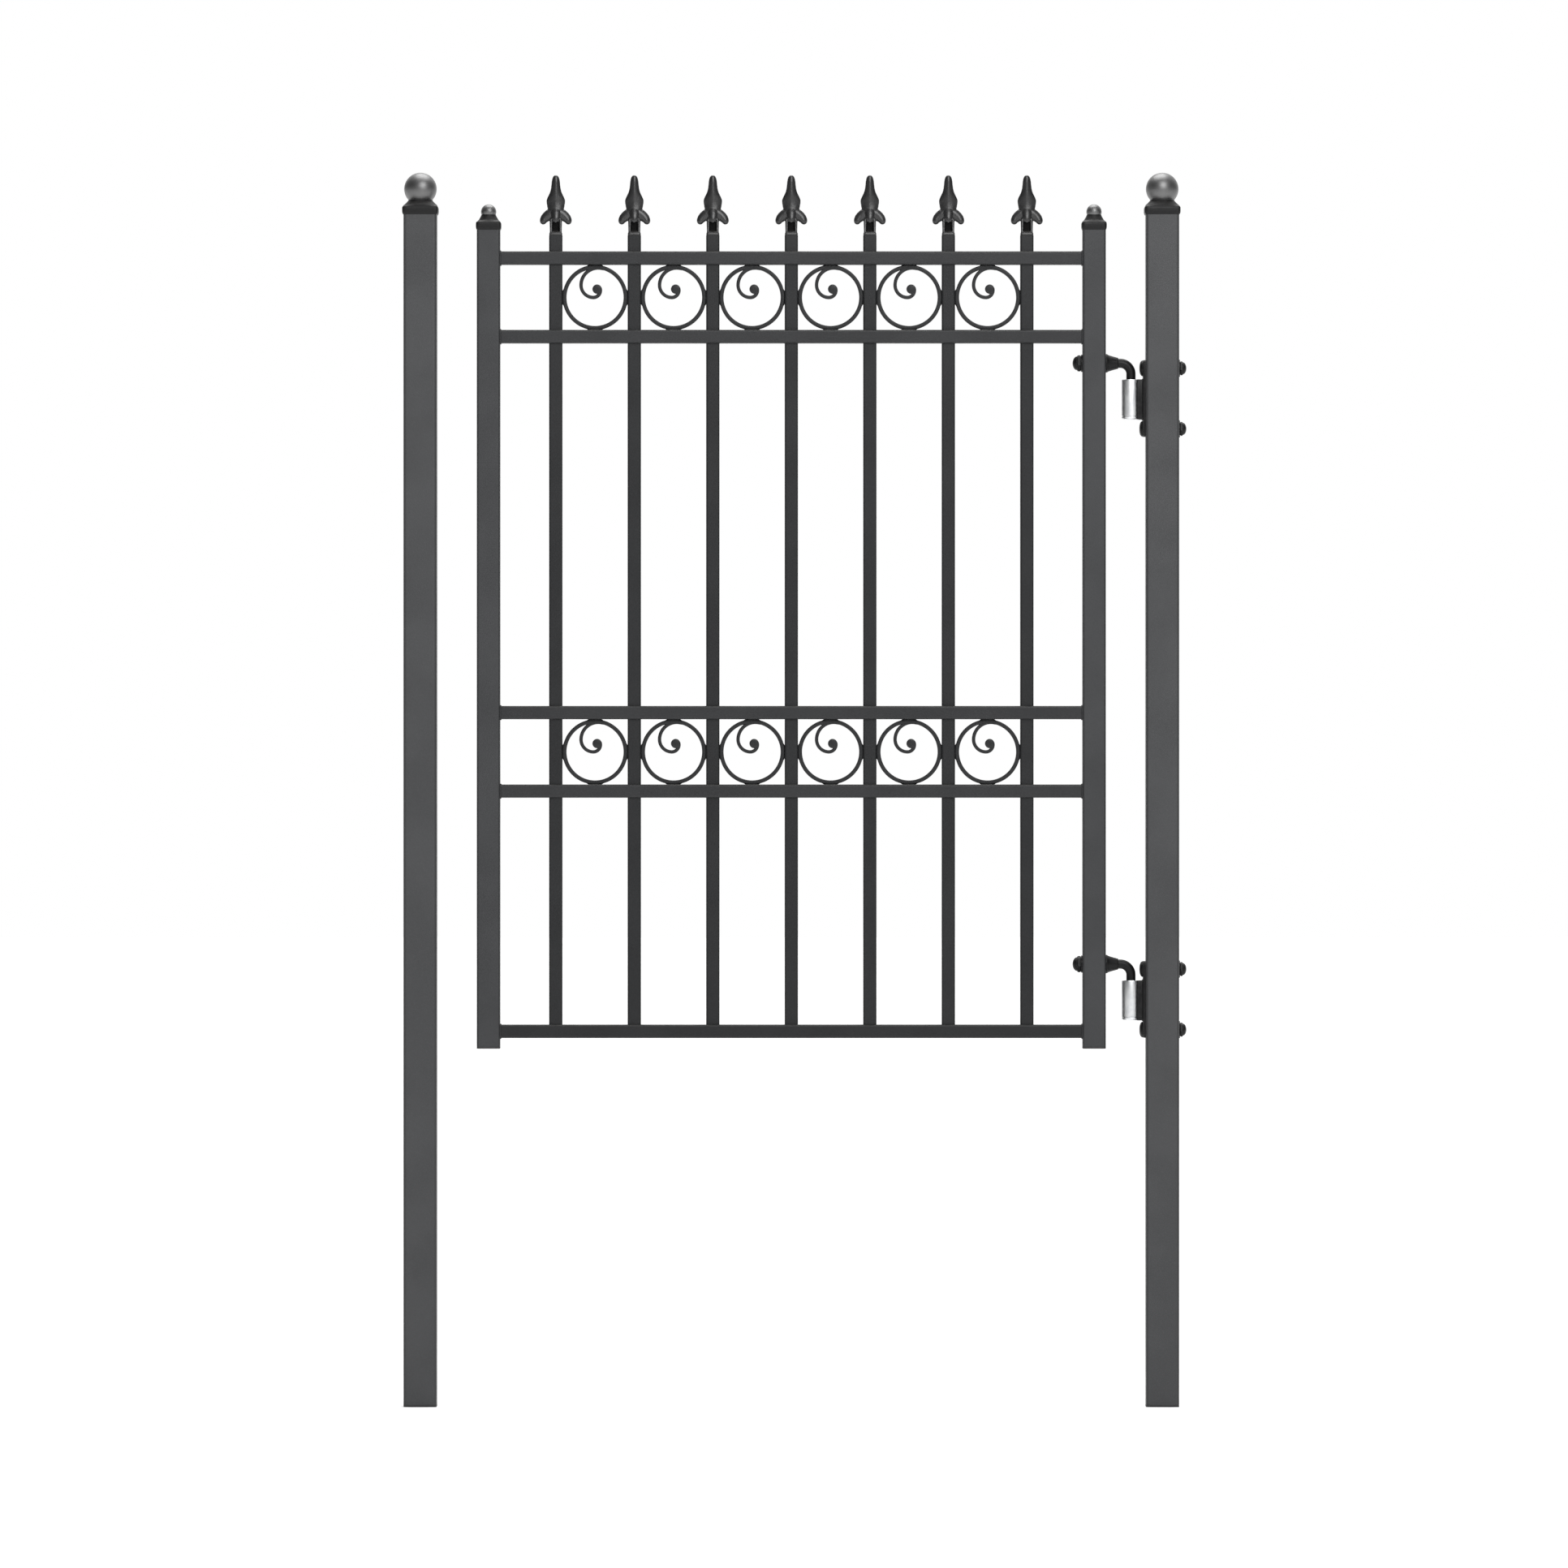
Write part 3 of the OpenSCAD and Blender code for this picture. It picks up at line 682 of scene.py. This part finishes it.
side_leaf = [
    (3.0, 37.0, 5.5, 4.5),
    (5.5, 35.2, 7.0, 5.0),
    (9.5, 32.3, 7.8, 5.0),
    (13.6, 28.8, 7.6, 4.8),
    (16.6, 25.6, 7.0, 4.9),
    (18.2, 23.0, 6.2, 5.1),
    (18.8, 21.0, 5.5, 5.0),
    (18.9, 19.2, 4.6, 4.3),
    (18.9, 17.6, 3.2, 3.0),
    (18.9, 16.6, 1.4, 1.4),
]
bud = [
    (1.5, 44.0, 2.0, 3.4),
    (3.2, 39.5, 2.8, 5.4),
    (4.8, 34.5, 3.3, 6.6),
    (6.4, 29.8, 3.4, 6.7),
    (7.6, 25.8, 3.1, 5.8),
    (8.3, 22.8, 2.5, 4.4),
    (8.6, 20.4, 1.7, 2.8),
    (8.6, 19.0, 0.8, 1.2),
]
for degrees, route in ((0, side_leaf), (180, side_leaf), (90, bud), (270, bud)):
    leaf(casting, route, Matrix.Rotation(math.radians(degrees), 3, "Z"))
bmesh.ops.recalc_face_normals(casting, faces=casting.faces)
mesh = bpy.data.meshes.new("spear_pattern")
casting.to_mesh(mesh)
casting.free()

# The pattern's pieces are fused and their joins eased, as in one casting.
pattern = bpy.data.objects.new("spear_pattern", mesh)
bpy.context.scene.collection.objects.link(pattern)
fused = pattern.modifiers.new("fused", "REMESH")
fused.mode, fused.voxel_size, fused.use_smooth_shade = "VOXEL", 0.00068, True
eased = pattern.modifiers.new("eased", "SMOOTH")
eased.factor, eased.iterations = 0.5, 3
bpy.context.view_layer.update()
finished = pattern.evaluated_get(bpy.context.evaluated_depsgraph_get())
spear_mesh = bpy.data.meshes.new_from_object(finished)
spear_mesh.name = "spear_casting"
bpy.data.objects.remove(pattern)
spear_mesh.materials.clear()
spear_mesh.materials.append(finial_black)
spear_mesh.materials.append(socket_shade_black)
# Faces in the socket between the ribs take the painted shade material.
for face in spear_mesh.polygons:
    x, y, z = (abs(c) / MM for c in face.center)
    face.material_index = int(x < 5.4 and y < 4.2 and 6.2 < z < 21)
slot = "gloss_black_finials"
for i in range(1, 8):
    low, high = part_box(f"bar_{i}")
    place = Vector(((low.x + high.x) / 2, 0, high.z))
    set_piece(f"spear_{i}_casting", spear_mesh, place, "gate_leaf", slot, f"spear_finial_{i}")


# ------------------------------------------------------------- Hook bolts
# Forged 14 mm rods in black. Each passes through the hinge-side stile, bends down on a 16 mm radius
# and ends in the pin. A conical nut outside and a dome nut on a washer inside clamp it to the
# stile.

iron_black = cast_black("black_hardware", (0.0045, 0.0045, 0.0048), 0.38, 0.0, 0.005, 0.00012)
set_gloss(iron_black, Specular_IOR_Level=0.2)
rod, bend = 0.007, 0.016
for level in ("lower", "upper"):
    low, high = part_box("hook_bolt_" + level)
    pivot, arm, foot = high.x - rod, high.z - rod, low.z
    bend_x, bend_z = pivot - bend, arm - bend
    # Places along the rod, from its threaded end to the pin's foot, and how far it has turned down.
    path = [(low.x, arm, 0.0), (low.x + 0.001, arm, 0.0)]
    path += [(bend_x - (bend_x - low.x) * (1 - i / 6), arm, 0.0) for i in range(1, 6)]
    for i in range(17):
        a = math.radians(90 * i / 16)
        path.append((bend_x + bend * math.sin(a), bend_z + bend * math.cos(a), a))
    path += [(pivot, bend_z - (bend_z - foot) * i / 6, math.pi / 2) for i in range(1, 6)]
    path += [(pivot, foot + 0.0015, math.pi / 2), (pivot, foot, math.pi / 2)]
    rings = []
    for i, (x, z, a) in enumerate(path):
        size = rod - 0.0012 if i in (0, len(path) - 1) else rod
        x_size, z_size = size * math.sin(a), size * math.cos(a)
        rings.append([(x + x_size * c, size * d, z + z_size * c) for c, d in circle(36)])
    shape = bmesh.new()
    skin(shape, rings)
    name, node_name = f"hook_{level}_forged", "hook_bolt_" + level
    make_piece(name, shape, iron_black, "gate_leaf", "black_hardware", node_name, crease=40)


def turned(shape, profile, place, axis, count=40, hexagon=None):
    """Adds a turned solid of (along, radius) pairs, cut down to a hexagon this wide over flats."""
    axis = Vector(axis).normalized()
    side = axis.orthogonal().normalized()
    up = axis.cross(side)
    place, sixth = Vector(place), math.pi / 3
    rings = []
    for along, radius in profile:
        ring = []
        for k in range(count):
            angle = 2 * math.pi * k / count
            size = radius
            if hexagon:
                from_flat = (angle + sixth / 2) % sixth - sixth / 2
                size = min(radius, hexagon / 2 / math.cos(from_flat))
            outward = side * math.cos(angle) + up * math.sin(angle)
            ring.append(place + axis * along + outward * size)
        rings.append(ring)
    skin(shape, rings)


def dome_nut(across_flats, hex_height, dome_height):
    """Profile of a chamfered hexagon with a domed end."""
    flat = across_flats / 2
    widest = flat / math.cos(math.pi / 6)
    top = hex_height
    profile = [(0.0, flat * 0.90), (0.0001, flat * 0.97), (0.0009, widest * 0.985)]
    profile += [(0.0013, widest), (top - 0.0016, widest)]
    profile += [(top - 0.0009, widest * 0.985), (top, flat * 0.97)]
    for i in range(13):
        angle = i / 12 * math.pi / 2 * 0.985
        profile.append((top + dome_height * math.sin(angle), flat * 0.95 * math.cos(angle)))
    return profile


nut_flats, washer_t, cone_start, cone_run = 0.022, 0.002, 0.0030, 0.0150
nut = dome_nut(nut_flats, 0.006, 0.0068)
washer = [(0.0, 0.0076), (0.0, 0.0126), (0.0003, 0.013), (0.0016, 0.013)]
washer += [(washer_t, 0.0126), (washer_t, 0.0076)]
cone = [(0.0, 0.0128), (0.0004, 0.0138), (0.0012, 0.0140), (0.0024, 0.0138)]
for i in range(13):
    cone.append((cone_start + cone_run * i / 12, 0.0131 - 0.0046 * (i / 12) ** 0.8))
cone += [(0.0186, 0.0082), (0.0190, 0.0074)]
nuts, washers, cones = bmesh.new(), bmesh.new(), bmesh.new()
stile_low, stile_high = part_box("stile_hinge_side")
for level in ("lower", "upper"):
    low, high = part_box("hook_bolt_" + level)
    arm = high.z - rod
    turned(nuts, nut, (stile_low.x - washer_t, 0, arm), (-1, 0, 0), 72, hexagon=nut_flats)
    turned(washers, washer, (stile_low.x - washer_t, 0, arm), (1, 0, 0), 56)
    turned(cones, cone, (stile_high.x, 0, arm), (1, 0, 0), 56)
fixed = ("gate_leaf", "black_hardware")
make_piece("hook_dome_nuts_turned", nuts, iron_black, *fixed, "hook_dome_nuts", crease=24)
make_piece("hook_washers_pressed", washers, iron_black, *fixed, "hook_washers")
make_piece("hook_cone_nuts_turned", cones, iron_black, *fixed, "hook_cone_nuts", crease=40)


# ---------------------------------------------------------- Hinge barrels
# Turned steel sleeves, closed at the bottom and bright zinc plated, that the pins drop into. A
# nylon pad inside each carries the leaf's weight. They sit in the brackets' saddles, and a bead
# down each side holds them.

turning, given, result = effect("turning_marks", [("Pitch", 0.0004), ("Wander", 0.35)], "Height")
place = add(turning, "ShaderNodeTexCoord").outputs["Object"]
inputs = [(0, place), (1, (0.02, 0.02, 1))]
squeezed = add(turning, "ShaderNodeVectorMath", inputs, operation="MULTIPLY").outputs[0]
scale = reckon(turning, "DIVIDE", 1.0, given["Pitch"])
inputs = [("Vector", squeezed), ("Scale", scale), ("Detail", 2.0)]
marks = add(turning, "ShaderNodeTexNoise", inputs).outputs["Fac"]
spots = times(turning, cloud(turning, 0.004), given["Wander"])
turning.links.new(plus(turning, marks, spots), result)

zinc, tree, shader = finish_with("bright_zinc", metallic=1.0)
spangle = rise(tree, cloud(tree, 0.007, 3.0), 0.35, 0.65)
shade = blend_of(tree, spangle, (0.70, 0.715, 0.73), (0.77, 0.78, 0.785))
film = use(tree, dusty, amount=0.15, patch_size=0.006)
shade = blend_of(tree, film, shade, (0.45, 0.44, 0.42))
tree.links.new(shade, shader.inputs["Base Color"])
tree.links.new(plus(tree, 0.38, times(tree, spangle, 0.04)), shader.inputs["Roughness"])
height = use(tree, turning, pitch=0.0006, wander=0.25)
relief(tree, shader, height, 0.25, 0.00004)

bore, floor = 0.00725, 0.004
for level in ("lower", "upper"):
    low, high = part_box("hinge_barrel_" + level)
    tall, radius = high.z - low.z, (high.y - low.y) / 2
    # Up the outside, past a groove near the foot, and down the bore to its floor.
    profile = [
        (0.0, radius * 0.82),
        (0.0003, radius * 0.89),
        (0.0016, radius * 0.985),
        (0.0024, radius),
        (0.0040, radius),
        (0.0043, radius - 0.0008),
        (0.0052, radius - 0.0008),
        (0.0055, radius),
        (tall * 0.5, radius),
        (tall - 0.0016, radius),
        (tall - 0.0006, radius * 0.98),
        (tall, radius * 0.93),
        (tall, bore + 0.0008),
        (tall - 0.0008, bore),
        (tall * 0.5, bore),
        (floor, bore),
    ]
    shape = bmesh.new()
    turned(shape, profile, ((low.x + high.x) / 2, 0, low.z), (0, 0, 1), 72)
    make_piece(f"barrel_{level}_turned", shape, zinc, "posts", "zinc", "hinge_barrel_" + level)

nylon, tree, shader = finish_with("white_nylon")
cast = rise(tree, cloud(tree, 0.002), 0.3, 0.7)
shade = blend_of(tree, cast, (0.72, 0.71, 0.67), (0.80, 0.79, 0.76))
tree.links.new(shade, shader.inputs["Base Color"])
tree.links.new(plus(tree, 0.38, times(tree, cast, 0.08)), shader.inputs["Roughness"])
recoat("thrust_pads", nylon)


# --------------------------------------------------------- Hinge brackets
# A 4 mm plate bolted to the post, with a saddle welded to it that is hollowed for the barrel. Plate
# and saddle are black, with the edges eased and a rippled bead along every joint.

plate_t, saddle_half, saddle_in, ease, corner = 0.004, 0.015, 0.009, 0.0007, 0.006
hollow_r = 0.01415
hollow_half = math.sqrt(hollow_r**2 - saddle_in**2)
beads = bmesh.new()
for level in ("lower", "upper"):
    low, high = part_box("hinge_bracket_" + level)
    barrel_low, barrel_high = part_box("hinge_barrel_" + level)
    foot, head = barrel_low.z, barrel_high.z
    pivot, front = (barrel_low.x + barrel_high.x) / 2, high.x - plate_t
    near = pivot + saddle_in

    # The plate, from its front face back, with rounded corners and an eased front edge.
    mid_z, tall, deep = (low.z + high.z) / 2, (high.z - low.z) / 2, (high.y - low.y) / 2
    rings = []
    for back, shrink in ((0, ease), (ease * 0.3, ease * 0.3), (ease, 0), (plate_t, 0)):
        x = high.x if back == plate_t else front + back
        ring = []
        for sy, sz, turn in ((1, 1, 0), (-1, 1, 90), (-1, -1, 180), (1, -1, 270)):
            for i in range(7):
                a = math.radians(turn + 15 * i)
                y = sy * (deep - corner) + (corner - shrink) * math.cos(a)
                z = mid_z + sz * (tall - corner) + (corner - shrink) * math.sin(a)
                ring.append((x, y, z))
        rings.append(ring)
    shape = bmesh.new()
    skin(shape, rings)

    # The saddle, from its foot up. Its front is hollowed to the barrel.
    hollow = []
    for i in range(13):
        y = -hollow_half + 2 * hollow_half * i / 12
        hollow.append((pivot + math.sqrt(hollow_r**2 - y * y), y))
    outline = [(front, -saddle_half), (near + ease, -saddle_half), (near, -saddle_half + ease)]
    outline += hollow
    outline += [(near, saddle_half - ease), (near + ease, saddle_half), (front, saddle_half)]
    levels = [(foot, ease), (foot + ease * 0.3, ease * 0.3), (foot + ease, 0)]
    levels += [(head - ease, 0), (head - ease * 0.3, ease * 0.3), (head, ease)]
    rings = []
    for z, draw in levels:
        ring = []
        for x, y in outline:
            drawn_x = x + draw if x < front - 0.0001 else x
            ring.append((drawn_x, y * (1 - draw / saddle_half), z))
        rings.append(ring)
    skin(shape, rings)
    name, node_name = f"bracket_{level}_welded", "hinge_bracket_" + level
    make_piece(name, shape, iron_black, "posts", "black_hardware", node_name, crease=28)

    for s in (-1, 1):
        y, inner, outer = s * saddle_half, s * 0.002, s * 0.013
        edge = s * (hollow_half + 0.0012)
        weld_bead(beads, [(front, y, foot + 0.001), (front, y, head - 0.001)], 0.0017)
        weld_bead(beads, [(front, inner, foot), (front, outer, foot)], 0.0015)
        weld_bead(beads, [(front, inner, head), (front, outer, head)], 0.0015)
        weld_bead(beads, [(near, edge, foot + 0.005), (near, edge, head - 0.005)], 0.0014)
make_piece("bracket_welds", beads, iron_black, "posts", "black_hardware", crease=60)


# --------------------------------------------------------------- Fasteners
# Four M10 coach bolts through the hinge-side post: domed heads on the brackets, and on the post's
# outer face a washer and a dome nut on each, all in black.

half_pitch, washer_t, nut_flats, shank_r = 0.0455, 0.0016, 0.019, 0.005
head = [(-0.0535, shank_r), (-0.004, shank_r), (-0.0001, shank_r)]
head += [(0.0, 0.0112), (0.0003, 0.0119), (0.0009, 0.0119)]
for i in range(1, 13):
    a = i / 12 * math.pi / 2 * 0.98
    head.append((0.0009 + 0.0045 * math.sin(a), 0.0117 * math.cos(a) ** 0.8))
washer = [(0.0, 0.0054), (0.0, 0.0127), (0.0003, 0.013), (0.0013, 0.013)]
washer += [(washer_t, 0.0127), (washer_t, 0.0054)]
nut = dome_nut(nut_flats, 0.0046, 0.0051)
heads, flats, domes = bmesh.new(), bmesh.new(), bmesh.new()
post_low, post_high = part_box("post_hinge_side")
for level in ("lower", "upper"):
    low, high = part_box("hinge_bracket_" + level)
    for s in (-1, 1):
        z = (low.z + high.z) / 2 + s * half_pitch
        turned(heads, head, (post_low.x - plate_t, 0, z), (-1, 0, 0), 48)
        turned(flats, washer, (post_high.x, 0, z), (1, 0, 0), 56)
        turned(domes, nut, (post_high.x + washer_t, 0, z), (1, 0, 0), 72, hexagon=nut_flats)
fixed = ("posts", "black_hardware")
make_piece("coach_bolts_forged", heads, iron_black, *fixed, "bracket_bolts")
make_piece("bracket_washers_pressed", flats, iron_black, *fixed, "bracket_washers")
make_piece("bracket_dome_nuts_turned", domes, iron_black, *fixed, "bracket_dome_nuts", crease=24)


# ------------------------------------------------------------------ Studio
# A wide white floor that glows faintly, more so further out, under a white sky that is dim at the
# front and the sides. One large soft light stands at the upper right of the front, one overhead.

wide = 60.0
corners = [(-wide, -wide, 0), (wide, -wide, 0), (wide, wide, 0), (-wide, wide, 0)]
floor_mesh = bpy.data.meshes.new("floor")
floor_mesh.from_pydata(corners, [], [(0, 1, 2, 3)])
floor = bpy.data.objects.new("floor", floor_mesh)
bpy.context.scene.collection.objects.link(floor)
floor_white, tree, shader = finish_with("floor_white")
shader.inputs["Base Color"].default_value = (0.93, 0.93, 0.93, 1)
shader.inputs["Roughness"].default_value = 1.0
shader.inputs["Specular IOR Level"].default_value = 0.0
shader.inputs["Emission Strength"].default_value = 1.0
place = add(tree, "ShaderNodeTexCoord").outputs["Object"]
distance = add(tree, "ShaderNodeVectorMath", [(0, place)], operation="LENGTH").outputs["Value"]
glow = rise(tree, distance, 1.4, 6.0, 0.36, 0.66)
tree.links.new(glow, shader.inputs["Emission Color"])
floor_mesh.materials.append(floor_white)

world = bpy.data.worlds.new("studio")
bpy.context.scene.world = world
world.use_nodes = True
tree = world.node_tree
backing = tree.nodes["Background"]
direction = add(tree, "ShaderNodeTexCoord").outputs["Generated"]
parts = add(tree, "ShaderNodeSeparateXYZ", [(0, direction)]).outputs
behind = rise(tree, parts["Y"], -0.35, 0.45, 0.25, 1.0)
off_centre = reckon(tree, "ABSOLUTE", reckon(tree, "SUBTRACT", parts["X"], 0.08))
sideways = rise(tree, off_centre, 0.45, 0.9, 1.0, 0.22)
around = times(tree, behind, sideways)
seen = add(tree, "ShaderNodeLightPath").outputs["Is Camera Ray"]
tree.links.new(reckon(tree, "MAXIMUM", around, seen), backing.inputs["Strength"])
backing.inputs["Color"].default_value = (1, 1, 1, 1)


def soft_light(name, place, aim, size, power):
    """A square light of this size in metres and power in watts."""
    lamp = bpy.data.lights.new(name, "AREA")
    lamp.shape, lamp.size, lamp.energy = "SQUARE", size, power
    light = bpy.data.objects.new(name, lamp)
    light.location = place
    light.rotation_euler = (Vector(aim) - Vector(place)).to_track_quat("-Z", "Y").to_euler()
    bpy.context.scene.collection.objects.link(light)


soft_light("key", (1.0, -4.2, 4.0), (0, 0, 1.0), 3.0, 180)
soft_light("top", (0.0, 0.8, 5.0), (0, 0, 1.0), 3.0, 120)

lens, view_width = 300.0, 2.357
camera = bpy.data.objects.new("camera", bpy.data.cameras.new("camera"))
camera.data.lens, camera.data.sensor_width, camera.data.clip_end = lens, 36.0, 200.0
camera.location = (-0.011, -view_width * lens / 36.0, 0.9357)
camera.rotation_euler = (math.pi / 2, 0, 0)
bpy.context.scene.collection.objects.link(camera)
bpy.context.scene.camera = camera
bpy.context.scene.view_settings.view_transform = "Standard"
